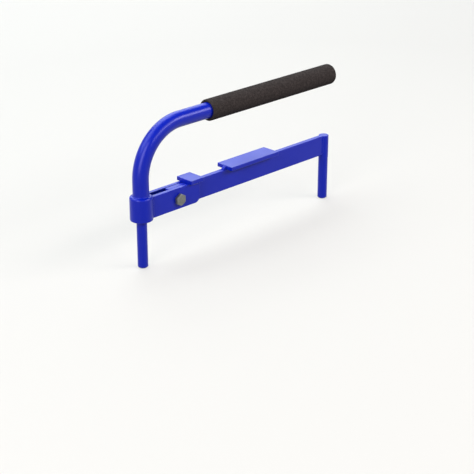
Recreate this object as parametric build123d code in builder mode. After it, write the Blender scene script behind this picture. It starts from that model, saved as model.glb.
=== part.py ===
"""Block laying tongs: a flat bar with a fixed pin at one end, and a handle arm that pivots on the other.

Millimetres, +Z up, +X along the bar from the handle to the fixed pin. The origin is on the fixed pin's
axis, level with the top of a block that the tongs are seated in.
"""

import os
from math import cos, pi, radians, sin, sqrt, tan

from build123d import *

# Pins that go into the block
pin_spacing = 312.5  # fixed pin's axis to handle pin's axis
pin_depth = 50.0  # how far the pins reach into the block
pin_shank_d = 12.7  # pin where it is welded in
pin_grip_d = 12.3  # turned length that goes into the block
pin_shoulder = 4.0  # shank left full size below the bar and the collar
pin_tip_chamfer = 1.5
pin_top_round = 0.6

# Flat bar that carries the fixed pin
seat_gap = 11.0  # block's top to the bar's underside
bar_height = 25.4
bar_thickness = 6.35
tongue_tail = 11.8  # bar beyond the pivot, between the fork plates
bar_corner = 1.0

# Collar that joins handle tube, handle pin and fork
collar_wall = 3.9
collar_height = 26.5
collar_drop = 1.5  # collar's underside below the bar's underside
socket_depth = 14.0  # handle tube's seat in the collar
collar_round = 0.8  # lower rim

# Bent handle tube and its foam sleeve
tube_od = 19.05
tube_wall = 2.0
bend_radius = 60.0  # to the tube's axis
grip_rise = 105.4  # bar's underside to the grip's axis
grip_start = 104.9  # collar's axis to the sleeve's near rim
grip_length = 216.0
grip_wall = 3.455
grip_end_wall = 6.0  # closed far end of the sleeve
grip_near_round = 1.4
grip_far_round = 4.0

# Fork that takes the bar's tongue
fork_plate_thickness = 5.0
fork_height = 26.0
fork_tail = 33.0  # fork beyond the pivot
fork_corner = 8.0  # lower corner of the fork's free end
pivot_offset = 51.3  # collar's axis to the pivot
pivot_height = 11.6  # bar's underside to the pivot

# Flat plates across the top
plate_width = 25.4
plate_thickness = 4.76
plate_corner = 1.0
stop_plate_offset = 15.4  # pivot to the stop plate's near end
stop_plate_length = 20.8
rest_plate_offset = 98.2  # fixed pin's axis to the rest plate's near end
rest_plate_length = 81.0

# Rolled and deburred edges of the flats
edge_round = 0.5

# Pivot bolt with its washer and lock nut
bolt_d = 8.0
bolt_length = 29.0  # under the head
bolt_end_chamfer = 0.8
hex_flats = 13.0
head_height = 4.0
head_chamfer_angle = 30.0
washer_od = 16.0
washer_thickness = 1.6
nut_hex_height = 5.6
nut_crown_height = 2.4
nut_crown_wall = 0.9
insert_wall = 1.2
insert_height = 1.8

# Weld beads
weld_leg = 2.4
end_weld_leg = 4.2  # bead at each end of the rest plate
weld_crown = 0.68  # how far a bead's crown stands out, as a share of its leg
weld_end_gap = 2.0  # bead stops short of the end of its seam

# Fits
side_clearance = 0.4  # between the bar and each fork plate
stop_gap = 0.2  # bar's top to the stop plate's underside, handle at rest on the bar
pivot_clearance = 0.05  # bolt in the bar, on radius
bolt_hole_clearance = 0.2  # bolt in fork plates and washer, on radius
weld_fit = 0.02  # between welded or pressed pieces, on radius

# Levels and places worked out from the sizes
handle_x = -pin_spacing
pivot_x = handle_x + pivot_offset
bar_bottom = seat_gap
bar_top = bar_bottom + bar_height
pivot_z = bar_bottom + pivot_height
pin_tip_z = -pin_depth
collar_bottom = bar_bottom - collar_drop
collar_top = collar_bottom + collar_height
socket_floor = collar_top - socket_depth
grip_axis_z = bar_bottom + grip_rise
tube_radius = tube_od / 2
collar_radius = tube_radius + weld_fit + collar_wall
grip_radius = tube_radius + weld_fit + grip_wall
shank_radius = pin_shank_d / 2
fork_inner = bar_thickness / 2 + side_clearance
fork_outer = fork_inner + fork_plate_thickness
fork_top = bar_top + stop_gap
fork_bottom = fork_top - fork_height
fork_end_x = pivot_x + fork_tail
grip_start_x = handle_x + grip_start
grip_end_x = grip_start_x + grip_length
tube_end_x = grip_end_x - grip_end_wall
stop_plate_x = pivot_x + stop_plate_offset
rest_plate_x = -rest_plate_offset - rest_plate_length
washer_seat = fork_outer + washer_thickness
insert_seat = washer_seat + nut_hex_height

os.makedirs("parts", exist_ok=True)


def save(piece, label):
    """Label a finished piece and write it as its own file."""
    piece.part.label = label
    export_step(piece.part, f"parts/{label}.step")


def pin(axis_x, top_z, shoulder_z):
    """A round pin: a full-size shank down to its shoulder, then the turned length with a chamfered tip."""
    with BuildPart() as piece:
        with BuildSketch(Plane.XY.offset(shoulder_z)):
            with Locations((axis_x, 0)):
                Circle(shank_radius)
        extrude(amount=top_z - shoulder_z)
        with BuildSketch(Plane.XY.offset(shoulder_z)):
            with Locations((axis_x, 0)):
                Circle(pin_grip_d / 2)
        extrude(amount=pin_tip_z - shoulder_z)
        chamfer(piece.edges().sort_by(Axis.Z)[0], pin_tip_chamfer)
        fillet(piece.edges().sort_by(Axis.Z)[-1], pin_top_round)
    return piece


def round_flat(piece):
    """Round the edges of the two broad faces of an upright flat that is still open in a builder."""
    sides = piece.faces().sort_by(Axis.Y)
    fillet(sides[0].outer_wire().edges() + sides[-1].outer_wire().edges(), edge_round)


def fork_plate(inner_face):
    """One cheek of the fork, coped to the collar, from the plane that its sketch lies on."""
    with BuildPart() as piece:
        with BuildSketch(inner_face):
            with Locations(((handle_x + fork_end_x) / 2, (fork_bottom + fork_top) / 2)):
                Rectangle(fork_end_x - handle_x, fork_height)
            with Locations((pivot_x, pivot_z)):
                Circle(bolt_d / 2 + bolt_hole_clearance, mode=Mode.SUBTRACT)
        extrude(amount=fork_plate_thickness)
        free_end = piece.edges().filter_by(Axis.Y).group_by(Axis.X)[-1]
        fillet(free_end.sort_by(Axis.Z)[0], fork_corner)
        round_flat(piece)
        with BuildSketch(Plane.XY.offset(fork_bottom)):
            with Locations((handle_x, 0)):
                Circle(collar_radius + weld_fit)
        extrude(amount=fork_height, mode=Mode.SUBTRACT)
    return piece


def cross_plate(start_x, length, underside):
    """A flat plate across the top of the bar, with its sharp corners taken off."""
    with BuildPart() as piece:
        with BuildSketch(Plane.XY.offset(underside)):
            with Locations((start_x + length / 2, 0)):
                RectangleRounded(length, plate_width, plate_corner)
        extrude(amount=plate_thickness)
        levels = piece.edges().group_by(Axis.Z)
        fillet(levels[0] + levels[-1], edge_round)
    return piece


def seam_welds(start_x, length, face_y, underside):
    """Two beads under a plate's overhang, one along each upright face."""
    with BuildPart() as beads:
        for side in (-1, 1):
            seam_start = Plane.YZ.offset(start_x + weld_end_gap)
            foot = (side * face_y, underside - weld_leg)
            edge = (side * (face_y + weld_leg), underside)
            crown = weld_leg * weld_crown
            with BuildSketch(seam_start):
                with BuildLine():
                    Polyline(edge, (side * face_y, underside), foot)
                    ThreePointArc(foot, (side * (face_y + crown), underside - crown), edge)
                make_face()
            extrude(amount=length - 2 * weld_end_gap)
    return beads


def end_welds(start_x, length, width, seat_z):
    """Two beads across a flat seat, one at each end of the plate that lies on it."""
    crown = end_weld_leg * weld_crown
    with BuildPart() as beads:
        for end_x, away in ((start_x, -1), (start_x + length, 1)):
            foot = (end_x + away * end_weld_leg, seat_z)
            head = (end_x, seat_z + end_weld_leg)
            with BuildSketch(Plane.XZ.offset(-width / 2)):
                with BuildLine():
                    Polyline(foot, (end_x, seat_z), head)
                    ThreePointArc(head, (end_x + away * crown, seat_z + crown), foot)
                make_face()
            extrude(amount=width)
    return beads


def corner_welds(axis_x, round_radius, face_y, away, bottom, top):
    """Two upright beads where flat faces at plus and minus face_y run into a round piece."""
    seat_radius = round_radius + 2 * weld_fit
    reach = sqrt(seat_radius**2 - face_y**2)
    root_x = axis_x + away * reach
    turn = weld_leg / seat_radius
    swung_x = (reach * cos(turn) - face_y * sin(turn)) * away + axis_x
    swung_y = face_y * cos(turn) + reach * sin(turn)
    with BuildPart() as beads:
        for side in (-1, 1):
            with BuildSketch(Plane.XY.offset(bottom + weld_end_gap)):
                with BuildLine():
                    Polyline(
                        (root_x + away * weld_leg, side * face_y),
                        (swung_x, side * swung_y),
                        (axis_x, side * face_y),
                        close=True,
                    )
                make_face()
                with Locations((axis_x, 0)):
                    Circle(seat_radius, mode=Mode.SUBTRACT)
            extrude(amount=top - bottom - 2 * weld_end_gap)
    return beads


def ring_weld(axis_x, round_radius, leg, seat_z, up):
    """A bead round a tube or pin where it leaves a flat seat, above the seat or below it."""
    inner = axis_x + round_radius + weld_fit
    crown = leg * weld_crown
    with BuildPart() as bead:
        with BuildSketch(Plane.XZ):
            with BuildLine():
                toe = (inner + leg, seat_z)
                head = (inner, seat_z + up * leg)
                Polyline(toe, (inner, seat_z), head)
                ThreePointArc(head, (inner + crown, seat_z + up * crown), toe)
            make_face()
        revolve(axis=Axis((axis_x, 0, 0), (0, 0, 1)))
    return bead


# Bent handle tube
with BuildPart() as handle_tube:
    with BuildLine(Plane.XZ) as tube_path:
        FilletPolyline(
            (handle_x, socket_floor),
            (handle_x, grip_axis_z),
            (tube_end_x, grip_axis_z),
            radius=bend_radius,
        )
    with BuildSketch(Plane.XY.offset(socket_floor)):
        with Locations((handle_x, 0)):
            Circle(tube_radius)
            Circle(tube_radius - tube_wall, mode=Mode.SUBTRACT)
    sweep(path=tube_path.line)
save(handle_tube, "handle_tube")

# Foam sleeve on the tube, closed at its far end
with BuildPart() as grip_sleeve:
    with BuildSketch(Plane.YZ.offset(grip_start_x)):
        with Locations((0, grip_axis_z)):
            Circle(grip_radius)
    extrude(amount=grip_length)
    rims = grip_sleeve.edges().filter_by(GeomType.CIRCLE).sort_by(Axis.X)
    fillet(rims[0], grip_near_round)
    fillet(rims[-1], grip_far_round)
    with BuildSketch(Plane.YZ.offset(grip_start_x)):
        with Locations((0, grip_axis_z)):
            Circle(tube_radius + weld_fit)
    extrude(amount=tube_end_x - grip_start_x, mode=Mode.SUBTRACT)
save(grip_sleeve, "grip_sleeve")

# Collar with the tube's socket above and the pin's bore below
with BuildPart() as collar:
    with BuildSketch(Plane.XY.offset(collar_bottom)):
        with Locations((handle_x, 0)):
            Circle(collar_radius)
            Circle(shank_radius + weld_fit, mode=Mode.SUBTRACT)
    extrude(amount=collar_height)
    with BuildSketch(Plane.XY.offset(socket_floor)):
        with Locations((handle_x, 0)):
            Circle(tube_radius + weld_fit)
    extrude(amount=socket_depth, mode=Mode.SUBTRACT)
    lower_rims = collar.edges().filter_by(GeomType.CIRCLE).group_by(Axis.Z)[0]
    fillet(lower_rims.sort_by(SortBy.RADIUS)[-1], collar_round)
save(collar, "collar")

# Gripping pin under the collar, and the one at the far end of the bar
handle_pin = pin(handle_x, socket_floor, collar_bottom - pin_shoulder)
save(handle_pin, "handle_pin")
fixed_pin = pin(0, bar_top, bar_bottom - pin_shoulder)
save(fixed_pin, "fixed_pin")

# Fork plates: each sketch plane faces the near side, so the far plate starts at its outer face
near_fork_plate = fork_plate(Plane.XZ.offset(fork_inner))
save(near_fork_plate, "near_fork_plate")
far_fork_plate = fork_plate(Plane.XZ.offset(-fork_outer))
save(far_fork_plate, "far_fork_plate")

# Stop plate across the fork's free end, and rest plate on the bar
stop_plate = cross_plate(stop_plate_x, stop_plate_length, fork_top)
save(stop_plate, "stop_plate")
rest_plate = cross_plate(rest_plate_x, rest_plate_length, bar_top)
save(rest_plate, "rest_plate")

# Flat bar, coped to the fixed pin and bored for the pivot
with BuildPart() as main_bar:
    tongue_x = pivot_x - tongue_tail
    with BuildSketch(Plane.XZ.offset(-bar_thickness / 2)):
        with Locations((tongue_x / 2, (bar_bottom + bar_top) / 2)):
            Rectangle(-tongue_x, bar_height)
        with Locations((pivot_x, pivot_z)):
            Circle(bolt_d / 2 + pivot_clearance, mode=Mode.SUBTRACT)
    extrude(amount=bar_thickness)
    fillet(main_bar.edges().filter_by(Axis.Y).group_by(Axis.X)[0], bar_corner)
    round_flat(main_bar)
    with BuildSketch(Plane.XY.offset(bar_bottom)):
        Circle(shank_radius + weld_fit)
    extrude(amount=bar_height, mode=Mode.SUBTRACT)
save(main_bar, "main_bar")

# Weld beads
handle_weld = ring_weld(handle_x, tube_radius, collar_wall, collar_top, 1)
save(handle_weld, "handle_weld")
handle_pin_weld = ring_weld(handle_x, shank_radius, weld_leg, collar_bottom, -1)
save(handle_pin_weld, "handle_pin_weld")
fork_welds = corner_welds(handle_x, collar_radius, fork_outer, 1, fork_bottom, collar_top)
save(fork_welds, "fork_welds")
fixed_pin_welds = corner_welds(0, shank_radius, bar_thickness / 2, -1, bar_bottom, bar_top)
save(fixed_pin_welds, "fixed_pin_welds")
stop_seam_length = min(stop_plate_length, fork_end_x - stop_plate_x)
stop_plate_welds = seam_welds(stop_plate_x, stop_seam_length, fork_outer, fork_top)
save(stop_plate_welds, "stop_plate_welds")
rest_plate_welds = end_welds(rest_plate_x, rest_plate_length, bar_thickness - 2 * edge_round, bar_top)
save(rest_plate_welds, "rest_plate_welds")

# Pivot bolt: hexagon head on the near side with its corners up and down
corner_radius = hex_flats / 2 / cos(pi / 6)
head_chamfer = (corner_radius - hex_flats / 2) * tan(radians(head_chamfer_angle))
bolt_axis = Axis((pivot_x, 0, pivot_z), (0, 1, 0))
with BuildPart() as pivot_bolt:
    with BuildSketch(Plane.XZ.offset(fork_outer)):
        with Locations((pivot_x, pivot_z)):
            RegularPolygon(corner_radius, 6, rotation=30)
    extrude(amount=head_height)
    with BuildSketch(Plane.XY.offset(pivot_z)):
        with BuildLine():
            face_y = -fork_outer - head_height
            Polyline(
                (pivot_x, -fork_outer),
                (pivot_x + corner_radius, -fork_outer),
                (pivot_x + corner_radius, face_y + head_chamfer),
                (pivot_x + hex_flats / 2, face_y),
                (pivot_x, face_y),
                close=True,
            )
        make_face()
    revolve(axis=bolt_axis, mode=Mode.INTERSECT)
    with BuildSketch(Plane.XZ.offset(fork_outer)):
        with Locations((pivot_x, pivot_z)):
            Circle(bolt_d / 2)
    extrude(amount=-bolt_length)
    chamfer(pivot_bolt.edges().filter_by(GeomType.CIRCLE).sort_by(Axis.Y)[-1], bolt_end_chamfer)
save(pivot_bolt, "pivot_bolt")

# Plain washer under the nut
with BuildPart() as pivot_washer:
    with BuildSketch(Plane.XZ.offset(-fork_outer)):
        with Locations((pivot_x, pivot_z)):
            Circle(washer_od / 2)
            Circle(bolt_d / 2 + bolt_hole_clearance, mode=Mode.SUBTRACT)
    extrude(amount=-washer_thickness)
save(pivot_washer, "pivot_washer")

# Lock nut: hexagon, round crown, and the nylon ring that the crown holds
insert_radius = bolt_d / 2 + weld_fit + insert_wall
with BuildPart() as lock_nut:
    with BuildSketch(Plane.XZ.offset(-washer_seat)):
        with Locations((pivot_x, pivot_z)):
            RegularPolygon(corner_radius, 6, rotation=30)
    extrude(amount=-nut_hex_height)
    with BuildSketch(Plane.XZ.offset(-insert_seat)):
        with Locations((pivot_x, pivot_z)):
            Circle(insert_radius + weld_fit + nut_crown_wall)
    extrude(amount=-nut_crown_height)
    with BuildSketch(Plane.XZ.offset(-washer_seat)):
        with Locations((pivot_x, pivot_z)):
            Circle(bolt_d / 2 + weld_fit)
    extrude(amount=-nut_hex_height, mode=Mode.SUBTRACT)
    with BuildSketch(Plane.XZ.offset(-insert_seat)):
        with Locations((pivot_x, pivot_z)):
            Circle(insert_radius + weld_fit)
    extrude(amount=-nut_crown_height, mode=Mode.SUBTRACT)
save(lock_nut, "lock_nut")

with BuildPart() as lock_nut_insert:
    with BuildSketch(Plane.XZ.offset(-insert_seat)):
        with Locations((pivot_x, pivot_z)):
            Circle(insert_radius)
            Circle(bolt_d / 2 + weld_fit, mode=Mode.SUBTRACT)
    extrude(amount=-insert_height)
save(lock_nut_insert, "lock_nut_insert")
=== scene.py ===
"""Block laying tongs in their finishes: powder coat, foam grip, weld beads and zinc-plated fasteners."""

from math import ceil, cos, pi, radians, sin, sqrt, tan

import bmesh
import bpy
from bpy.props import FloatProperty, FloatVectorProperty, IntProperty, PointerProperty
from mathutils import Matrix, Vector, noise


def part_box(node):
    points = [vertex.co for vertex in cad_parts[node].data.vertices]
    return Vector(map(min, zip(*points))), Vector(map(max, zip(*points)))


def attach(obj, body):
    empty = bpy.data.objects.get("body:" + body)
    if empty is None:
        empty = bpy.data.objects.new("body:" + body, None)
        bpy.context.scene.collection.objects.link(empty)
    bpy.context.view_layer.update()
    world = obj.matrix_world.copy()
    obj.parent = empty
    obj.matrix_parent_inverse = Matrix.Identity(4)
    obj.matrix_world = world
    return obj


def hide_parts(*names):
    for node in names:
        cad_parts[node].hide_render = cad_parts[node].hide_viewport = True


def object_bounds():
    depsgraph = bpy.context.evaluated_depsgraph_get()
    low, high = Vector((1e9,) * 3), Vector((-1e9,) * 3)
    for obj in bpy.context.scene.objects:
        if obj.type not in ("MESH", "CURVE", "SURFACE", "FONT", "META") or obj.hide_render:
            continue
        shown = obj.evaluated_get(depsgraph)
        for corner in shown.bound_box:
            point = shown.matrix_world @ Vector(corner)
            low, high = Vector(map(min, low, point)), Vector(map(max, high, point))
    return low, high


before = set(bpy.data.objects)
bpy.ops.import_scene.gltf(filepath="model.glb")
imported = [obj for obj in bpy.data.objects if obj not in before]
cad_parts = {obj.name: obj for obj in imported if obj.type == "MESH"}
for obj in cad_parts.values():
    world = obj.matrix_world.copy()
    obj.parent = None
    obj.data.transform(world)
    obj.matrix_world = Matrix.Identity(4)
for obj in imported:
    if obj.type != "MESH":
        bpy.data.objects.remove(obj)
cad_low, cad_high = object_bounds()

bl_info = {
    "name": "Block laying tongs",
    "version": (1, 0, 0),
    "blender": (4, 5, 0),
    "location": "View3D > Sidebar > Tongs",
    "description": "Gives the packed tongs their paint, foam grip, weld beads, pivot fasteners and stage",
    "category": "Object",
}

MM = 0.001
ARM = "handle_arm"
BAR = "bar"
COAT = "powder_coat_royal_blue"

# Patterns of the finishes
CLOUD_WIDTH = 26 * MM  # lighter and deeper blue of the coat
GLOSS_SPREAD = 0.03  # how far the coat's roughness strays
SLOT_SHADE_EDGE = 0.4 * MM  # band over which the painted slot shade fades out at a slot's edge
SWELL_WIDTH = 9 * MM  # slow swells of the foam's skin
SWELL_DEPTH = 0.06 * MM
PORE_CORE = 0.1  # painted shade in the middle of a cut cell, as a share of the cells' spacing
PORE_RIM = 0.5  # where the ground skin is reached
FLECK_LEAST = 0.35  # least share of the ground colour in a dark fleck
PATCH_WIDTH = 2.6 * MM  # duller patches of the zinc
ZINC_ROUGHNESS = (0.52, 0.66)  # of its brighter and its duller patches
WAX_WIDTH = 1.5 * MM  # cloudiness of the nylon
WAX_DEEP = 0.85  # deeper tone of the nylon, as a share of its colour
NYLON_ROUGHNESS = (0.38, 0.46)  # of its lighter and its deeper parts
NOISE_LOW = 0.3  # nearly all of a noise texture lies from here
NOISE_HIGH = 0.7  # to here

# Sockets of a colour mix, which are told apart by number: three inputs, and its output
MIX_SHARE = 0
MIX_FROM = 6
MIX_TO = 7
MIX_COLOUR = 2

# Fits and weld beads
BORE_FIT = 0.02 * MM  # clearance on radius of one piece in another
BEAD_SINK = 0.03 * MM  # how far a bead's root lies inside the pieces that it joins
WANDER_WIDTH = 5 * MM  # length over which a bead's toes wander
RIPPLE_LAG = 0.8  # how far a ripple's middle trails its ends, in pitches
RIPPLE_POINTS = 8  # stations to one ripple
BLUNT_END = 0.04  # square of the share of its size that a bead keeps at its end
TACK_END = 1.2 * MM  # length in which a short bead across the bar runs out
SHOULDER_SHARE = 2 / 3  # part of the collar's weld that rounds over, before it sweeps up
CORNER_SHARE = 0.6  # leg of an upright bead, as a share of its solid's leg

# Fasteners
TURNS = 72  # points round a turned piece
FLAT_TURN = 60  # degrees from one flat of a hexagon to the next
CHAMFER_START = 0.96  # radius where a hexagon's chamfer starts, as a share of its apothem
CHAMFER_SLOPE = tan(radians(30))
FACE_RING = 0.5  # ring within the bolt's end face, as a share of the chamfer's start
THREAD_POINTS = 10  # rings to one pitch of the thread
GROOVE_HALF = 0.44  # half of the groove's mouth, in pitches
CROWN_ROLL = 120  # degrees through which the nut's crown is rolled in
MOUTH_SHARE = 1 / 6  # bevel of the nylon ring's mouth, as a share of its wall
SHARP_EDGE = radians(35)  # edges that turn by more than this are rounded
ROUNDING_STEPS = 3

# Steps of the rounded outlines
LIP_STEPS = 6
END_STEPS = 10
SHOULDER_STEPS = 12
SWEEP_STEPS = 8
WASHER_STEPS = 4
CROWN_STEPS = 6
COVE_STEPS = 8

# Stage, in metres, and the camera's sensor in millimetres
FLOOR_RADIUS = 12.0
COVE_RADIUS = 2.5  # of the rim, where the floor curves up
NEAR_FLOOR = 0.8  # distance at which the floor's glow starts to rise
FAR_FLOOR = 4.5  # distance at which it is full
SENSOR_WIDTH = 36

# Soft boxes: name, turn and rise of the way to them in degrees, width and height in metres,
# the light that they give a surface that faces them, and its colour
SOFT_BOXES = (
    ("high_back_box", 165, 62, 1.4, 1.16, 0.56, "#EEFBFF"),
    ("left_back_box", -127, 45, 1.6, 1.45, 0.68, "#EEFBFF"),
    ("back_right_box", 146, 33, 1.75, 1.15, 0.48, "#EEFBFF"),
    ("right_front_box", 41, 31, 0.85, 0.48, 0.50, "#FFFFFF"),
    ("middle_front_box", 7, 33, 1.4, 0.45, 0.445, "#FFFFFF"),
    ("left_front_box", -69, 23, 0.8, 1.5, 0.70, "#FFFFFF"),
)

# Pieces whose solids have the right shape and keep it under the paint
PAINTED = (
    "handle_tube",
    "collar",
    "handle_pin",
    "stop_plate",
    "main_bar",
    "rest_plate",
    "fixed_pin",
)
FORK_PLATES = ("near_fork_plate", "far_fork_plate")


def linear(hex_colour):
    """An sRGB hex colour as linear red, green and blue."""
    parts = [int(hex_colour[i : i + 2], 16) / 255 for i in (1, 3, 5)]
    return tuple(c / 12.92 if c <= 0.04045 else ((c + 0.055) / 1.055) ** 2.4 for c in parts)


def per_metre(width):
    """Texture scale whose pattern repeats about once in a width in metres."""
    return 1 / width


def add(tree, kind, sockets=None, **settings):
    """Add one shader node, with its settings, and with values or links on its sockets."""
    node = tree.nodes.new("ShaderNode" + kind)
    for name, value in settings.items():
        setattr(node, name, value)
    for socket, value in (sockets or {}).items():
        if isinstance(value, bpy.types.NodeSocket):
            tree.links.new(value, node.inputs[socket])
        else:
            node.inputs[socket].default_value = value
    return node


def new_material(name):
    """An empty node material, and its tree."""
    material = bpy.data.materials.new(name)
    material.use_nodes = True
    material.node_tree.nodes.clear()
    return material, material.node_tree


class PaintSettings(bpy.types.PropertyGroup):
    """Powder coat on the steel."""

    colour: FloatVectorProperty(
        name="Colour",
        description="Blue of the powder coat",
        subtype="COLOR",
        default=linear("#031CA5"),
        min=0,
        max=1,
    )
    shade: FloatVectorProperty(
        name="Shade",
        description="Deeper blue where the coat lies thicker",
        subtype="COLOR",
        default=linear("#021A9B"),
        min=0,
        max=1,
    )
    # Painted shade: a darker blue that stands in for the shade in the slot between the fork plates
    slot_shade: FloatVectorProperty(
        name="Thin coat",
        description="Dark blue inside the fork, where the powder hardly reaches",
        subtype="COLOR",
        default=linear("#01106A"),
        min=0,
        max=1,
    )
    gloss_tint: FloatVectorProperty(
        name="Gloss tint",
        description="Violet cast of the light that the coat mirrors",
        subtype="COLOR",
        default=linear("#D0CBFF"),
        min=0,
        max=1,
    )
    roughness: FloatProperty(
        name="Roughness",
        description="Roughness of the cured coat",
        subtype="FACTOR",
        default=0.325,
        min=0,
        max=1,
    )
    peel_width: FloatProperty(
        name="Orange peel width",
        description="Width of one swell of the orange peel",
        unit="LENGTH",
        default=3.2 * MM,
    )
    peel_depth: FloatProperty(
        name="Orange peel depth",
        description="Height of a swell of the orange peel",
        unit="LENGTH",
        default=0.005 * MM,
    )


class GripSettings(bpy.types.PropertyGroup):
    """Foam sleeve on the handle."""

    colour: FloatVectorProperty(
        name="Colour",
        description="Charcoal of the foam's ground surface",
        subtype="COLOR",
        default=linear("#3E3736"),
        min=0,
        max=1,
    )
    # Painted shade: a darker colour in the middle of each cut cell, where shade falls in the pore
    pore_shade: FloatVectorProperty(
        name="Pore colour",
        description="Dark inside of the cut cells",
        subtype="COLOR",
        default=linear("#272322"),
        min=0,
        max=1,
    )
    pore_width: FloatProperty(
        name="Pore width",
        description="Spacing of the cut cells",
        unit="LENGTH",
        default=1.7 * MM,
    )
    pore_depth: FloatProperty(
        name="Pore depth",
        description="Depth of the cut cells",
        unit="LENGTH",
        default=0.16 * MM,
    )
    mottle_width: FloatProperty(
        name="Mottle width",
        description="Width of the lighter and darker flecks of the ground surface",
        unit="LENGTH",
        default=3.2 * MM,
    )
    lip_round: FloatProperty(
        name="Lip rounding",
        description="Rounding of the bore's lip, which leaves a dark gap round the tube",
        unit="LENGTH",
        default=2.0 * MM,
    )
    near_round: FloatProperty(
        name="Rim rounding",
        description="Rounding of the rim that the tube enters",
        unit="LENGTH",
        default=1.4 * MM,
    )
    far_round: FloatProperty(
        name="End rounding",
        description="Rounding of the closed end",
        unit="LENGTH",
        default=4.0 * MM,
    )
    end_wall: FloatProperty(
        name="End wall",
        description="Foam past the end of the tube",
        unit="LENGTH",
        default=6.0 * MM,
    )
    step: FloatProperty(
        name="Mesh step",
        description="Spacing of the points along and round the sleeve",
        unit="LENGTH",
        default=0.8 * MM,
    )


class WeldSettings(bpy.types.PropertyGroup):
    """Weld beads under the paint."""

    pitch: FloatProperty(
        name="Ripple pitch",
        description="Distance from one ripple of a bead to the next",
        unit="LENGTH",
        default=1.9 * MM,
    )
    ripple: FloatProperty(
        name="Ripple height",
        description="Height of a ripple over the bead",
        unit="LENGTH",
        default=0.22 * MM,
    )
    tack_pitch: FloatProperty(
        name="Tack ripple pitch",
        description="Distance between the ripples of the short beads across the bar",
        unit="LENGTH",
        default=2.7 * MM,
    )
    tack_ripple: FloatProperty(
        name="Tack ripple height",
        description="Height of a ripple on the short beads across the bar",
        unit="LENGTH",
        default=0.4 * MM,
    )
    bulge: FloatProperty(
        name="Bulge",
        description="How far a bead's crown stands out, as a share of its width",
        subtype="FACTOR",
        default=0.07,
        min=0,
        max=0.5,
    )
    wander: FloatProperty(
        name="Toe wander",
        description="How far a bead's edges wander",
        unit="LENGTH",
        default=0.16 * MM,
    )
    across: IntProperty(
        name="Points across",
        description="Points over the crown of a bead",
        default=11,
        min=4,
    )


class FastenerSettings(bpy.types.PropertyGroup):
    """Pivot bolt, washer and lock nut."""

    zinc: FloatVectorProperty(
        name="Zinc",
        description="Colour of the plated steel",
        subtype="COLOR",
        default=linear("#868784"),
        min=0,
        max=1,
    )
    dull_zinc: FloatVectorProperty(
        name="Dull zinc",
        description="Duller patches of the plating",
        subtype="COLOR",
        default=linear("#6C6E6B"),
        min=0,
        max=1,
    )
    nylon: FloatVectorProperty(
        name="Nylon",
        description="Colour of the lock nut's ring",
        subtype="COLOR",
        default=linear("#CACAC4"),
        min=0,
        max=1,
    )
    thread_pitch: FloatProperty(
        name="Thread pitch",
        description="Pitch of the M8 coarse thread",
        unit="LENGTH",
        default=1.25 * MM,
    )
    thread_depth: FloatProperty(
        name="Thread depth",
        description="Depth of the thread's groove",
        unit="LENGTH",
        default=0.7 * MM,
    )
    washer_face: FloatProperty(
        name="Washer face",
        description="Height of the round face under the bolt's head",
        unit="LENGTH",
        default=0.4 * MM,
    )
    washer_bore: FloatProperty(
        name="Washer bore",
        description="Bore of the plain washer",
        unit="LENGTH",
        default=8.4 * MM,
    )
    washer_roll: FloatProperty(
        name="Washer roll",
        description="Rounding that the punch leaves on the washer's edge",
        unit="LENGTH",
        default=0.5 * MM,
    )
    crown_wall: FloatProperty(
        name="Crown wall",
        description="Wall of the lock nut's crown",
        unit="LENGTH",
        default=0.9 * MM,
    )
    insert_wall: FloatProperty(
        name="Ring wall",
        description="Wall of the nylon ring",
        unit="LENGTH",
        default=1.2 * MM,
    )
    edge_round: FloatProperty(
        name="Edge rounding",
        description="Rounding of the fasteners' edges",
        unit="LENGTH",
        default=0.12 * MM,
    )
    grain_depth: FloatProperty(
        name="Grain depth",
        description="Height of the slight relief of the plating and of the moulded ring",
        unit="LENGTH",
        default=0.02 * MM,
    )


class StageSettings(bpy.types.PropertyGroup):
    """Camera, floor and light."""

    camera_place: FloatVectorProperty(
        name="Camera place",
        description="Where the camera stands",
        subtype="TRANSLATION",
        unit="LENGTH",
        default=(-1.22664, -1.06854, 0.58975),
    )
    camera_turn: FloatProperty(
        name="Camera turn",
        description="Turn of the view from +Y towards +X",
        subtype="ANGLE",
        default=radians(45),
    )
    camera_drop: FloatProperty(
        name="Camera drop",
        description="Angle of the view below level",
        subtype="ANGLE",
        default=radians(23.24),
    )
    lens: FloatProperty(
        name="Lens",
        description="Focal length in millimetres on a sensor of 36 mm",
        default=100.63,
    )
    floor: FloatVectorProperty(
        name="Floor",
        description="Pale floor under the tongs, as it is seen",
        subtype="COLOR",
        default=linear("#87827D"),
        min=0,
        max=1,
    )
    bounce: FloatVectorProperty(
        name="Bounce",
        description="Colour with which the floor throws light back on the tongs",
        subtype="COLOR",
        default=linear("#525250"),
        min=0,
        max=1,
    )
    glow: FloatProperty(
        name="Glow",
        description="Share of white that the floor adds where it is seen, under the tongs' shadow too",
        subtype="FACTOR",
        default=0.53,
        min=0,
        max=1,
    )
    far_glow: FloatProperty(
        name="Far glow",
        description="Share of white that the floor adds far from the tongs, out of the boxes' light",
        subtype="FACTOR",
        default=0.92,
        min=0,
        max=1,
    )
    fill: FloatProperty(
        name="Fill light",
        description="Strength of the even light from all round",
        default=0.05,
    )
    box_distance: FloatProperty(
        name="Box distance",
        description="How far the soft boxes hang from the tongs",
        unit="LENGTH",
        default=2.0,
    )


# Materials


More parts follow.
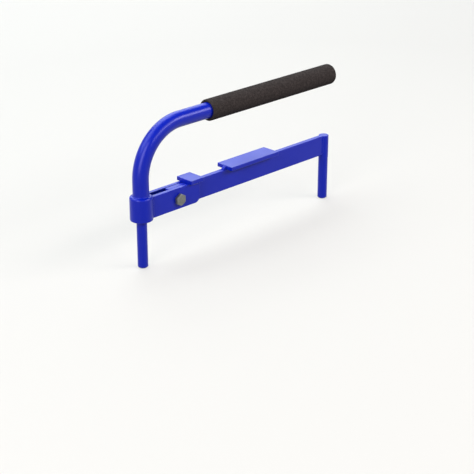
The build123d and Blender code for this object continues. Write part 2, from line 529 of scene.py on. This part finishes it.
def powder_coat(settings, name, slot=0.0):
    """Polyester powder coat, sprayed and oven cured: an even skin whose soft swells wrinkle its gloss.

    Within a slot's half width the coat is painted a darker blue: painted shade that stands
    in for the shade in a narrow slot.
    """
    material, tree = new_material(name)
    place = add(tree, "TexCoord").outputs["Object"]
    cloud = add(tree, "TexNoise", {"Vector": place, "Scale": per_metre(CLOUD_WIDTH), "Detail": 3.0})
    peel = add(
        tree,
        "TexNoise",
        {"Vector": place, "Scale": per_metre(settings.peel_width), "Detail": 2.0},
    )
    tone = add(
        tree,
        "Mix",
        {MIX_SHARE: cloud.outputs["Fac"], MIX_FROM: (*settings.colour, 1), MIX_TO: (*settings.shade, 1)},
        data_type="RGBA",
    )
    # Painted shade: within the slot's half width the blue turns darker, standing in for the shade in the
    # slot
    if slot:
        side = add(tree, "SeparateXYZ", {"Vector": place}).outputs["Y"]
        depth = add(tree, "Math", {0: side}, operation="ABSOLUTE")
        outside_slot_shade = add(
            tree,
            "MapRange",
            {"Value": depth.outputs["Value"], "From Min": slot, "From Max": slot + SLOT_SHADE_EDGE},
        )
        tone = add(
            tree,
            "Mix",
            {
                MIX_SHARE: outside_slot_shade.outputs["Result"],
                MIX_FROM: (*settings.slot_shade, 1),
                MIX_TO: tone.outputs[MIX_COLOUR],
            },
            data_type="RGBA",
        )
    gloss = add(
        tree,
        "MapRange",
        {
            "Value": cloud.outputs["Fac"],
            "From Min": NOISE_LOW,
            "From Max": NOISE_HIGH,
            "To Min": settings.roughness - GLOSS_SPREAD,
            "To Max": settings.roughness + GLOSS_SPREAD,
        },
    )
    swell = add(
        tree,
        "Bump",
        {"Height": peel.outputs["Fac"], "Distance": settings.peel_depth, "Strength": 1.0},
    )
    skin = add(
        tree,
        "BsdfPrincipled",
        {
            "Base Color": tone.outputs[MIX_COLOUR],
            "Roughness": gloss.outputs["Result"],
            "IOR": 1.45,
            "Specular Tint": (*settings.gloss_tint, 1),
            "Normal": swell.outputs["Normal"],
        },
    )
    add(tree, "OutputMaterial", {"Surface": skin.outputs["BSDF"]})
    return material


def ground_foam(settings):
    """Closed-cell nitrile foam, extruded and ground: dead matt, speckled with painted shade in the open
    halves of cut cells.

    Real cells are well under a millimetre wide, too fine to show in the render, so they are drawn as
    coarse as they need to show.
    """
    material, tree = new_material("nitrile_foam_ground")
    place = add(tree, "TexCoord").outputs["Object"]
    cells = add(tree, "TexVoronoi", {"Vector": place, "Scale": per_metre(settings.pore_width)})
    fleck = add(
        tree,
        "TexNoise",
        {"Vector": place, "Scale": per_metre(settings.mottle_width), "Detail": 2.0},
    )
    mottle = add(
        tree,
        "MapRange",
        {
            "Value": fleck.outputs["Fac"],
            "From Min": NOISE_LOW,
            "From Max": NOISE_HIGH,
            "To Min": FLECK_LEAST,
        },
    )
    cut = add(
        tree,
        "MapRange",
        {"Value": cells.outputs["Distance"], "From Min": PORE_CORE, "From Max": PORE_RIM},
    )
    # Random flecks, and painted shade towards the middle of each cut cell
    share = add(
        tree,
        "Math",
        {0: cut.outputs["Result"], 1: mottle.outputs["Result"]},
        operation="MULTIPLY",
    )
    tone = add(
        tree,
        "Mix",
        {
            MIX_SHARE: share.outputs["Value"],
            MIX_FROM: (*settings.pore_shade, 1),
            MIX_TO: (*settings.colour, 1),
        },
        data_type="RGBA",
    )
    grain = add(
        tree,
        "Bump",
        {"Height": cut.outputs["Result"], "Distance": settings.pore_depth / 2, "Strength": 1.0},
    )
    foam = add(
        tree,
        "BsdfPrincipled",
        {
            "Base Color": tone.outputs[MIX_COLOUR],
            "Roughness": 0.95,
            "IOR": 1.3,
            "Specular IOR Level": 0.1,
            "Normal": grain.outputs["Normal"],
        },
    )
    add(tree, "OutputMaterial", {"Surface": foam.outputs["BSDF"]})
    return material


def zinc_plate(settings):
    """Zinc-plated steel, barrel plated and passivated: a soft grey metal with duller patches."""
    material, tree = new_material("zinc_plated_steel")
    place = add(tree, "TexCoord").outputs["Object"]
    patch = add(tree, "TexNoise", {"Vector": place, "Scale": per_metre(PATCH_WIDTH), "Detail": 5.0})
    tone = add(
        tree,
        "Mix",
        {
            MIX_SHARE: patch.outputs["Fac"],
            MIX_FROM: (*settings.zinc, 1),
            MIX_TO: (*settings.dull_zinc, 1),
        },
        data_type="RGBA",
    )
    dull = add(
        tree,
        "MapRange",
        {
            "Value": patch.outputs["Fac"],
            "From Min": NOISE_LOW,
            "From Max": NOISE_HIGH,
            "To Min": ZINC_ROUGHNESS[0],
            "To Max": ZINC_ROUGHNESS[1],
        },
    )
    grain = add(
        tree,
        "Bump",
        {"Height": patch.outputs["Fac"], "Distance": settings.grain_depth, "Strength": 1.0},
    )
    plate = add(
        tree,
        "BsdfPrincipled",
        {
            "Base Color": tone.outputs[MIX_COLOUR],
            "Metallic": 1.0,
            "Roughness": dull.outputs["Result"],
            "Normal": grain.outputs["Normal"],
        },
    )
    add(tree, "OutputMaterial", {"Surface": plate.outputs["BSDF"]})
    return material


def moulded_nylon(settings):
    """Nylon, injection moulded: off-white and slightly waxy, with faint cloudiness."""
    material, tree = new_material("nylon_moulded")
    place = add(tree, "TexCoord").outputs["Object"]
    cloud = add(tree, "TexNoise", {"Vector": place, "Scale": per_metre(WAX_WIDTH), "Detail": 2.0})
    deep = [WAX_DEEP * part for part in settings.nylon]
    tone = add(
        tree,
        "Mix",
        {MIX_SHARE: cloud.outputs["Fac"], MIX_FROM: (*settings.nylon, 1), MIX_TO: (*deep, 1)},
        data_type="RGBA",
    )
    waxy = add(
        tree,
        "MapRange",
        {
            "Value": cloud.outputs["Fac"],
            "From Min": NOISE_LOW,
            "From Max": NOISE_HIGH,
            "To Min": NYLON_ROUGHNESS[0],
            "To Max": NYLON_ROUGHNESS[1],
        },
    )
    grain = add(
        tree,
        "Bump",
        {"Height": cloud.outputs["Fac"], "Distance": settings.grain_depth, "Strength": 1.0},
    )
    nylon = add(
        tree,
        "BsdfPrincipled",
        {
            "Base Color": tone.outputs[MIX_COLOUR],
            "Roughness": waxy.outputs["Result"],
            "IOR": 1.53,
            "Normal": grain.outputs["Normal"],
        },
    )
    add(tree, "OutputMaterial", {"Surface": nylon.outputs["BSDF"]})
    return material


def paper_floor(settings):
    """Paper, calendered and matt: an even white that keeps the tongs' soft shadow.

    Where it is seen or mirrored it has its pale colour, with a glow that brings it to white. The light
    that it throws back on the tongs comes from a darker colour.
    """
    material, tree = new_material("paper_floor")
    path = add(tree, "LightPath").outputs
    mirrored = add(
        tree,
        "Math",
        {0: path["Is Glossy Ray"], 1: path["Is Transmission Ray"]},
        operation="MAXIMUM",
    )
    seen = add(
        tree,
        "Math",
        {0: path["Is Camera Ray"], 1: mirrored.outputs["Value"]},
        operation="MAXIMUM",
    )
    tone = add(
        tree,
        "Mix",
        {
            MIX_SHARE: seen.outputs["Value"],
            MIX_FROM: (*settings.bounce, 1),
            MIX_TO: (*settings.floor, 1),
        },
        data_type="RGBA",
    )
    place = add(tree, "TexCoord").outputs["Object"]
    spread = add(tree, "VectorMath", {0: place}, operation="LENGTH")
    far = add(
        tree,
        "MapRange",
        {
            "Value": spread.outputs["Value"],
            "From Min": NEAR_FLOOR,
            "From Max": FAR_FLOOR,
            "To Min": settings.glow,
            "To Max": settings.far_glow,
        },
    )
    glow = add(
        tree,
        "Math",
        {0: seen.outputs["Value"], 1: far.outputs["Result"]},
        operation="MULTIPLY",
    )
    paper = add(
        tree,
        "BsdfPrincipled",
        {
            "Base Color": tone.outputs[MIX_COLOUR],
            "Roughness": 0.9,
            "Emission Color": (1, 1, 1, 1),
            "Emission Strength": glow.outputs["Value"],
        },
    )
    add(tree, "OutputMaterial", {"Surface": paper.outputs["BSDF"]})
    return material


# Meshes


def make_piece(name, points, faces, material):
    """A smooth mesh object from points in metres and faces, with outward normals."""
    mesh = bpy.data.meshes.new(name)
    mesh.from_pydata(points, [], faces)
    mesh.validate()
    shape = bmesh.new()
    shape.from_mesh(mesh)
    bmesh.ops.recalc_face_normals(shape, faces=shape.faces)
    shape.to_mesh(mesh)
    shape.free()
    mesh.polygons.foreach_set("use_smooth", [True] * len(mesh.polygons))
    mesh.materials.append(material)
    piece = bpy.data.objects.new(name, mesh)
    bpy.context.scene.collection.objects.link(piece)
    return piece


def paint(piece, material):
    """Give an object one material on all of its faces."""
    piece.data.materials.clear()
    piece.data.materials.append(material)


def soften(piece, width):
    """Round the sharp edges of a solid, and shade its flats flat."""
    rounding = piece.modifiers.new("edge_rounding", "BEVEL")
    rounding.width = width
    rounding.segments = ROUNDING_STEPS
    rounding.limit_method = "ANGLE"
    rounding.angle_limit = SHARP_EDGE
    rounding.use_clamp_overlap = False
    shading = piece.modifiers.new("flat_shading", "WEIGHTED_NORMAL")
    shading.mode = "FACE_AREA"
    shading.keep_sharp = False


def loft(rings, closed=False):
    """Points and faces of a skin over rings of equal count. A closed one joins its last to its first."""
    points = [point for ring in rings for point in ring]
    count = len(rings[0])
    faces = []
    for k in range(len(rings) if closed else len(rings) - 1):
        here, there = k * count, (k + 1) % len(rings) * count
        for j in range(count):
            nxt = (j + 1) % count
            faces.append((here + j, here + nxt, there + nxt, there + j))
    return points, faces


def cap(points, faces, first, count, centre):
    """Close a ring of a loft with a fan round a centre point."""
    points.append(centre)
    hub = len(points) - 1
    for j in range(count):
        faces.append((first + j, first + (j + 1) % count, hub))


def arc(centre, radius, start, end, steps):
    """Points (along, out) on an arc, with angles in degrees from the along axis."""
    turns = [radians(start + (end - start) * k / steps) for k in range(steps + 1)]
    return [(centre[0] + radius * cos(t), centre[1] + radius * sin(t)) for t in turns]


def line(start, end, step):
    """Points after start, up to end, no further apart than step."""
    start, end = Vector(start), Vector(end)
    count = max(1, ceil((end - start).length / step))
    return [tuple(start.lerp(end, (k + 1) / count)) for k in range(count)]


def foam_sleeve(settings, material):
    """The sleeve: a ground skin with swells and cut cells, a bore for the tube and a closed end."""
    low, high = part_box("grip_sleeve")
    tube_low, tube_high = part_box("handle_tube")
    axis_z = (low.z + high.z) / 2
    radius = (high.y - low.y) / 2
    bore = (tube_high.y - tube_low.y) / 2 + BORE_FIT
    tube_end = high.x - settings.end_wall
    lip, near, far = settings.lip_round, settings.near_round, settings.far_round
    step = settings.step
    skin = arc((low.x + lip, bore + lip), lip, 270, 180, LIP_STEPS)
    skin += line(skin[-1], (low.x, radius - near), step)
    skin += arc((low.x + near, radius - near), near, 180, 90, LIP_STEPS)[1:]
    skin += line(skin[-1], (high.x - far, radius), step)
    skin += arc((high.x - far, radius - far), far, 90, 0, END_STEPS)[1:]
    skin += line(skin[-1], (high.x, step), step)
    inside = [(tube_end, step), (tube_end, bore)]
    count = ceil(2 * pi * radius / step)
    rings = []
    for k, (along, out) in enumerate(skin + inside):
        ring = []
        for j in range(count):
            turn = 2 * pi * j / count
            spoke = Vector((0, cos(turn), sin(turn)))
            point = Vector((along, 0, axis_z)) + spoke * out
            if 0 < k < len(skin):
                point -= spoke * cut_cells(point, settings) * min(1, out / radius)
            ring.append(point)
        rings.append(ring)
    points, faces = loft(rings[: len(skin)])
    cap(points, faces, (len(skin) - 1) * count, count, Vector((high.x, 0, axis_z)))
    first = len(points)
    more, more_faces = loft(rings[len(skin) :])
    points += more
    faces += [tuple(first + i for i in face) for face in more_faces]
    cap(points, faces, first, count, Vector((tube_end, 0, axis_z)))
    mouth = first + count
    for j in range(count):
        nxt = (j + 1) % count
        faces.append((mouth + j, mouth + nxt, nxt, j))
    return make_piece("foam_grip", points, faces, material)


def cut_cells(point, settings):
    """How deep the ground skin lies at a point: slow swells and finer open cells."""
    swell = noise.noise(point / SWELL_WIDTH) * SWELL_DEPTH
    cell = noise.noise(point / settings.pore_width) ** 2 * settings.pore_depth
    return swell + SWELL_DEPTH + cell


def bead(stations, settings, pitch, ripple, end_length=None, closed=False):
    """A weld bead along stations of (root, toe, other toe), with crescent ripples and wandering toes."""
    across = settings.across
    run = 0.0
    rings = []
    total = sum((b[0] - a[0]).length for a, b in zip(stations, stations[1:]))
    for k, (root, toe, other) in enumerate(stations):
        if k:
            run += (root - stations[k - 1][0]).length
        taper = 1.0
        if not closed:
            end = min(run, total - run) / (end_length or (toe - root).length)
            taper = sqrt(max(BLUNT_END, 1 - (1 - min(1, end)) ** 2))
        wander = settings.wander * noise.noise(root / WANDER_WIDTH)
        toes = [root + (t - root) * taper * (1 + wander / (t - root).length) for t in (toe, other)]
        out = ((toes[0] + toes[1]) / 2 - root).normalized()
        ring = [root]
        for j in range(across):
            share = j / (across - 1)
            crown = 4 * share * (1 - share)  # 0 at the toes, 1 midway
            phase = run / pitch - RIPPLE_LAG * crown
            lift = settings.bulge * (toes[0] - toes[1]).length * crown
            lift += ripple * taper * crown * abs(sin(pi * phase))
            ring.append(toes[0].lerp(toes[1], share) + out * lift)
        rings.append(ring)
    points, faces = loft(rings, closed)
    if not closed:
        count = across + 1
        faces.append(tuple(range(count)))
        faces.append(tuple(range(len(points) - count, len(points))))
    return points, faces


def join(parts):
    """Several lots of points and faces as one."""
    points, faces = [], []
    for some_points, some_faces in parts:
        first = len(points)
        points += some_points
        faces += [tuple(first + i for i in face) for face in some_faces]
    return points, faces


def straight_stations(start, end, legs, step):
    """Stations from start to end, with toes at two fixed offsets from the root."""
    count = ceil((end - start).length / step)
    roots = [start.lerp(end, k / count) for k in range(count + 1)]
    return [(root, root + legs[0], root + legs[1]) for root in roots]


def seam_bead_pair(node, upright, settings):
    """Beads under a plate's overhang, along both upright faces of the piece that carries it."""
    low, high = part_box(node)
    leg = high.z - low.z
    step = settings.pitch / RIPPLE_POINTS
    parts = []
    for side in (-1, 1):
        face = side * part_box(upright)[1].y
        start = Vector((low.x, face - side * BEAD_SINK, high.z + BEAD_SINK))
        end = Vector((high.x, start.y, start.z))
        legs = (Vector((0, side * leg, 0)), Vector((0, 0, -leg)))
        stations = straight_stations(start, end, legs, step)
        parts.append(bead(stations, settings, settings.pitch, settings.ripple))
    return join(parts)


def tack_bead_pair(node, plate, settings):
    """Short beads across the bar's top, one at each end of the plate that lies on it."""
    low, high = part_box(node)
    plate_low, plate_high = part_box(plate)
    leg = high.z - low.z
    step = settings.tack_pitch / RIPPLE_POINTS
    parts = []
    for end_x, away in ((plate_low.x, -1), (plate_high.x, 1)):
        start = Vector((end_x - away * BEAD_SINK, low.y, low.z - BEAD_SINK))
        end = Vector((start.x, high.y, start.z))
        legs = (Vector((away * leg, 0, 0)), Vector((0, 0, leg)))
        stations = straight_stations(start, end, legs, step)
        parts.append(bead(stations, settings, settings.tack_pitch, settings.tack_ripple, TACK_END))
    return join(parts)


def corner_bead_pair(node, round_node, flat_node, settings):
    """Upright beads where the flat faces of one piece run into a round one."""
    low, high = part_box(node)
    round_low, round_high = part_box(round_node)
    axis_x = (round_low.x + round_high.x) / 2
    radius = (round_high.y - round_low.y) / 2
    face_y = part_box(flat_node)[1].y
    away = 1 if abs(high.x - axis_x) > abs(low.x - axis_x) else -1
    reach = sqrt(radius**2 - face_y**2)
    leg = CORNER_SHARE * (max(high.x - axis_x, axis_x - low.x) - reach)
    turn = leg / radius
    step = settings.pitch / RIPPLE_POINTS
    parts = []
    for side in (-1, 1):
        root = Vector((axis_x + away * (reach - BEAD_SINK), side * (face_y - BEAD_SINK), low.z))
        swung = Vector(
            (
                axis_x + away * (reach * cos(turn) - face_y * sin(turn)),
                side * (face_y * cos(turn) + reach * sin(turn)),
                low.z,
            )
        )
        legs = (Vector((away * leg, 0, 0)), swung - root)
        top = Vector((root.x, root.y, high.z))
        stations = straight_stations(root, top, legs, step)
        parts.append(bead(stations, settings, settings.pitch, settings.ripple))
    return join(parts)


def smooth_shoulder(node):
    """The dressed weld on the collar: its wall rounds over to level, then sweeps up into the tube."""
    low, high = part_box(node)
    axis_x = (low.x + high.x) / 2
    leg = high.z - low.z
    outer = (high.y - low.y) / 2
    inner = outer - leg - BEAD_SINK
    foot = low.z - BEAD_SINK
    over = leg * SHOULDER_SHARE
    sweep = leg - over
    outline = [(inner, foot), (outer, foot)]
    outline += arc((outer - over, low.z), over, 0, 90, SHOULDER_STEPS)
    outline += arc((outer - over, high.z), sweep, 270, 180, SWEEP_STEPS)[1:]
    outline.append((inner, high.z))
    rings = []
    for k in range(TURNS):
        turn = 2 * pi * k / TURNS
        spoke = Vector((cos(turn), sin(turn), 0))
        ring = [Vector((axis_x, 0, height)) + spoke * out for out, height in outline]
        rings.append(ring)
    return loft(rings, closed=True)


def ring_bead(node, settings):
    """A bead round a pin, below the seat that the pin comes out of."""
    low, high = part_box(node)
    axis_x = (low.x + high.x) / 2
    leg = high.z - low.z
    inner = (high.y - low.y) / 2 - leg - BEAD_SINK
    seat = high.z + BEAD_SINK
    ripples = round(2 * pi * (inner + leg / 2) / settings.pitch)
    count = ripples * RIPPLE_POINTS
    stations = []
    for k in range(count):
        turn = 2 * pi * k / count
        spoke = Vector((cos(turn), sin(turn), 0))
        root = Vector((axis_x, 0, seat)) + spoke * inner
        stations.append((root, root + spoke * leg, root - Vector((0, 0, leg))))
    return bead(stations, settings, settings.pitch, settings.ripple, closed=True)


def turned(name, axis, rings, material, ends=True):
    """A piece round a Y axis, from rings of (radius, y), with caps at its ends or closed on itself."""
    count = len(rings[0])
    lofted = []
    for ring in rings:
        around = []
        for j, (radius, along) in enumerate(ring):
            turn = 2 * pi * j / count
            around.append(Vector((axis.x + radius * cos(turn), along, axis.z + radius * sin(turn))))
        lofted.append(around)
    points, faces = loft(lofted, closed=not ends)
    if ends:
        cap(points, faces, 0, count, Vector((axis.x, rings[0][0][1], axis.z)))
        cap(points, faces, (len(rings) - 1) * count, count, Vector((axis.x, rings[-1][0][1], axis.z)))
    return make_piece(name, points, faces, material)


def plain_ring(radius, along):
    """A round ring at one place along the bolt."""
    return [(radius, along)] * TURNS


def hexagon_ring(apothem, along, drop=0.0):
    """A hexagon with corners up and down.

    A chamfer draws it along the bolt, by drop times its reach past the chamfer's start.
    """
    ring = []
    for j in range(TURNS):
        from_flat = (360 * j / TURNS + FLAT_TURN / 2) % FLAT_TURN - FLAT_TURN / 2
        reach = apothem / cos(radians(from_flat))
        ring.append((reach, along + drop * (reach - CHAMFER_START * apothem)))
    return ring


def hexagon_bolt(settings, material):
    """M8 bolt: chamfered hexagon head, washer face, plain shank and a cut thread with a chamfered end."""
    low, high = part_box("pivot_bolt")
    insert_low, insert_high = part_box("lock_nut_insert")
    axis = (low + high) / 2
    apothem = (high.x - low.x) / 2
    chamfer = CHAMFER_START * apothem
    shank = (insert_high.z - insert_low.z) / 2 - settings.insert_wall - BORE_FIT
    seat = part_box("near_fork_plate")[0].y
    thread_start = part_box("pivot_washer")[1].y
    rings = [
        plain_ring(FACE_RING * chamfer, low.y),
        plain_ring(chamfer, low.y),
        hexagon_ring(apothem, low.y, CHAMFER_SLOPE),
        hexagon_ring(apothem, seat - settings.washer_face),
        plain_ring(chamfer, seat - settings.washer_face),
        plain_ring(chamfer, seat),
        plain_ring(shank, seat),
        plain_ring(shank, thread_start),
    ]
    step = settings.thread_pitch / THREAD_POINTS
    for along, _ in line((thread_start, 0), (high.y, 0), step):
        limit = shank - settings.thread_depth + (high.y - along)
        ring = []
        for j in range(TURNS):
            phase = ((along - thread_start) / settings.thread_pitch - j / TURNS) % 1
            groove = max(0, 1 - abs(phase - 0.5) / GROOVE_HALF)
            ring.append((min(shank - settings.thread_depth * groove, limit), along))
        rings.append(ring)
    return turned("hexagon_bolt", axis, rings, material)


def plain_washer(settings, material):
    """Stamped washer, with its edge rolled on one side by the punch."""
    low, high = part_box("pivot_washer")
    axis = (low + high) / 2
    outer = (high.x - low.x) / 2
    inner = settings.washer_bore / 2
    roll = settings.washer_roll
    outline = [(inner, low.y), (outer, low.y)]
    outline += arc((outer - roll, high.y - roll), roll, 0, 90, WASHER_STEPS)
    outline.append((inner, high.y))
    rings = [plain_ring(*point) for point in outline]
    return turned("plain_washer", axis, rings, material, ends=False)


def crowned_nut(settings, material):
    """Lock nut: hexagon chamfered at both ends, and a crown rolled in over the nylon ring."""
    low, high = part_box("lock_nut")
    insert_low, insert_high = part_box("lock_nut_insert")
    axis = (low + high) / 2
    apothem = (high.x - low.x) / 2
    chamfer = CHAMFER_START * apothem
    nylon = (insert_high.x - insert_low.x) / 2
    seat = nylon + BORE_FIT
    crown = seat + settings.crown_wall
    bore = nylon - settings.insert_wall
    shoulder = insert_low.y
    roll = settings.crown_wall
    rings = [
        plain_ring(bore, low.y),
        plain_ring(chamfer, low.y),
        hexagon_ring(apothem, low.y, CHAMFER_SLOPE),
        hexagon_ring(apothem, shoulder, -CHAMFER_SLOPE),
        plain_ring(chamfer, shoulder),
        plain_ring(crown, shoulder),
    ]
    rolled = arc((crown - roll, high.y - roll), roll, 0, CROWN_ROLL, CROWN_STEPS)
    rings += [plain_ring(*point) for point in rolled]
    rings += [
        plain_ring(seat, insert_high.y + BORE_FIT),
        plain_ring(seat, shoulder),
        plain_ring(bore, shoulder),
    ]
    return turned("crowned_nut", axis, rings, material, ends=False)


def nylon_ring(settings, material):
    """Nylon ring in the nut's crown, which grips its shoulder and leaves its bevelled mouth in sight."""
    low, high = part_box("lock_nut_insert")
    axis = (low + high) / 2
    outer = (high.x - low.x) / 2
    inner = outer - settings.insert_wall
    grip = settings.crown_wall / 2 - BORE_FIT
    mouth = settings.insert_wall * MOUTH_SHARE
    rings = [
        plain_ring(inner, low.y),
        plain_ring(outer, low.y),
        plain_ring(outer, high.y),
        plain_ring(outer - grip, high.y + grip),
        plain_ring(inner + mouth, high.y + grip),
        plain_ring(inner, high.y + grip - mouth),
    ]
    return turned("nylon_ring", axis, rings, material, ends=False)


# Operators


class TONGS_OT_powder_coat(bpy.types.Operator):
    """Paint the steel"""

    bl_idname = "tongs.powder_coat"
    bl_label = "Powder coat"

    def execute(self, context):
        settings = context.scene.tongs_paint
        coat = powder_coat(settings, COAT)
        for name in PAINTED:
            paint(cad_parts[name], coat)
        # The fork plates get the coat with painted shade on their inner faces, in the slot between them
        fork_coat_with_slot_shade = powder_coat(settings, COAT + "_fork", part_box("far_fork_plate")[0].y)
        for name in FORK_PLATES:
            paint(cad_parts[name], fork_coat_with_slot_shade)
        return {"FINISHED"}


class TONGS_OT_foam_grip(bpy.types.Operator):
    """Slide the foam sleeve on the handle"""

    bl_idname = "tongs.foam_grip"
    bl_label = "Foam grip"

    def execute(self, context):
        settings = context.scene.tongs_grip
        sleeve = foam_sleeve(settings, ground_foam(settings))
        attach(sleeve, ARM)
        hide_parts("grip_sleeve")
        return {"FINISHED"}


class TONGS_OT_weld_beads(bpy.types.Operator):
    """Lay the weld beads in their seams"""

    bl_idname = "tongs.weld_beads"
    bl_label = "Weld beads"

    def execute(self, context):
        settings = context.scene.tongs_weld
        coat = bpy.data.materials[COAT]
        beads = {
            "handle_weld": (ARM, smooth_shoulder("handle_weld")),
            "handle_pin_weld": (ARM, ring_bead("handle_pin_weld", settings)),
            "fork_welds": (ARM, corner_bead_pair("fork_welds", "collar", "far_fork_plate", settings)),
            "stop_plate_welds": (ARM, seam_bead_pair("stop_plate_welds", "far_fork_plate", settings)),
            "rest_plate_welds": (BAR, tack_bead_pair("rest_plate_welds", "rest_plate", settings)),
            "fixed_pin_welds": (
                BAR,
                corner_bead_pair("fixed_pin_welds", "fixed_pin", "main_bar", settings),
            ),
        }
        for node, (body, shape) in beads.items():
            piece = make_piece(node + "_laid", *shape, coat)
            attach(piece, body)
            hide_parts(node)
        return {"FINISHED"}


class TONGS_OT_pivot_fasteners(bpy.types.Operator):
    """Fit the pivot bolt, its washer and its lock nut"""

    bl_idname = "tongs.pivot_fasteners"
    bl_label = "Pivot fasteners"

    def execute(self, context):
        settings = context.scene.tongs_fastener
        zinc = zinc_plate(settings)
        fitted = {
            "pivot_bolt": (hexagon_bolt(settings, zinc), "zinc"),
            "pivot_washer": (plain_washer(settings, zinc), "zinc"),
            "lock_nut": (crowned_nut(settings, zinc), "zinc"),
            "lock_nut_insert": (nylon_ring(settings, moulded_nylon(settings)), "nylon"),
        }
        for node, (piece, slot) in fitted.items():
            soften(piece, settings.edge_round)
            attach(piece, ARM)
            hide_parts(node)
        return {"FINISHED"}


class TONGS_OT_stage(bpy.types.Operator):
    """Set the camera, the floor and the light"""

    bl_idname = "tongs.stage"
    bl_label = "Stage"

    def execute(self, context):
        settings = context.scene.tongs_stage
        self.set_camera(context, settings)
        self.lay_floor(settings)
        self.hang_lights(context, settings)
        context.scene.view_settings.view_transform = "Standard"
        return {"FINISHED"}

    def set_camera(self, context, settings):
        """Stand the camera where the photo was taken from."""
        lens = bpy.data.cameras.new("photo_camera")
        lens.sensor_width = SENSOR_WIDTH
        lens.lens = settings.lens
        camera = bpy.data.objects.new("photo_camera", lens)
        camera.location = settings.camera_place
        camera.rotation_euler = (pi / 2 - settings.camera_drop, 0, -settings.camera_turn)
        context.scene.collection.objects.link(camera)
        context.scene.camera = camera

    def lay_floor(self, settings):
        """Lay a round floor under the tongs, which curves up at its rim."""
        level = cad_low.z
        centre = (FLOOR_RADIUS - COVE_RADIUS, level + COVE_RADIUS)
        turns = [2 * pi * k / TURNS for k in range(TURNS)]
        rings = []
        for out, height in arc(centre, COVE_RADIUS, 270, 360, COVE_STEPS):
            rings.append([Vector((out * cos(turn), out * sin(turn), height)) for turn in turns])
        points, faces = loft(rings)
        cap(points, faces, 0, TURNS, Vector((0, 0, level)))
        floor = make_piece("floor", points, faces, paper_floor(settings))

    def hang_lights(self, context, settings):
        """Hang the soft boxes, all turned to the middle of the tongs, in faintly lit air."""
        world = bpy.data.worlds.new("studio_air")
        world.use_nodes = True
        air = world.node_tree.nodes["Background"]
        air.inputs["Color"].default_value = (1, 1, 1, 1)
        air.inputs["Strength"].default_value = settings.fill
        context.scene.world = world
        aim = (cad_low + cad_high) / 2
        for name, turn, rise, width, height, level, tint in SOFT_BOXES:
            turn, rise = radians(turn), radians(rise)
            away = Vector((sin(turn) * cos(rise), -cos(turn) * cos(rise), sin(rise)))
            lamp = bpy.data.lights.new(name, "AREA")
            lamp.shape = "RECTANGLE"
            lamp.size, lamp.size_y = width, height
            lamp.energy = level * (pi * settings.box_distance) ** 2
            lamp.color = linear(tint)
            box = bpy.data.objects.new(name, lamp)
            box.location = aim + away * settings.box_distance
            box.rotation_mode = "QUATERNION"
            box.rotation_quaternion = away.to_track_quat("Z", "Y")
            box.visible_camera = False
            context.scene.collection.objects.link(box)


class TONGS_PT_panel(bpy.types.Panel):
    """The tongs' pieces and stage"""

    bl_idname = "TONGS_PT_panel"
    bl_label = "Block laying tongs"
    bl_space_type = "VIEW_3D"
    bl_region_type = "UI"
    bl_category = "Tongs"

    def draw(self, context):
        for operator in OPERATORS:
            self.layout.operator(operator.bl_idname)


GROUPS = {
    "tongs_paint": PaintSettings,
    "tongs_grip": GripSettings,
    "tongs_weld": WeldSettings,
    "tongs_fastener": FastenerSettings,
    "tongs_stage": StageSettings,
}
OPERATORS = (
    TONGS_OT_powder_coat,
    TONGS_OT_foam_grip,
    TONGS_OT_weld_beads,
    TONGS_OT_pivot_fasteners,
    TONGS_OT_stage,
)
CLASSES = (*GROUPS.values(), *OPERATORS, TONGS_PT_panel)


def register():
    for kind in CLASSES:
        bpy.utils.register_class(kind)
    for name, group in GROUPS.items():
        setattr(bpy.types.Scene, name, PointerProperty(type=group))


def unregister():
    for name in GROUPS:
        delattr(bpy.types.Scene, name)
    for kind in reversed(CLASSES):
        bpy.utils.unregister_class(kind)


def main():
    register()
    bpy.ops.tongs.powder_coat()
    bpy.ops.tongs.foam_grip()
    bpy.ops.tongs.weld_beads()
    bpy.ops.tongs.pivot_fasteners()
    bpy.ops.tongs.stage()


if __name__ == "__main__":
    main()
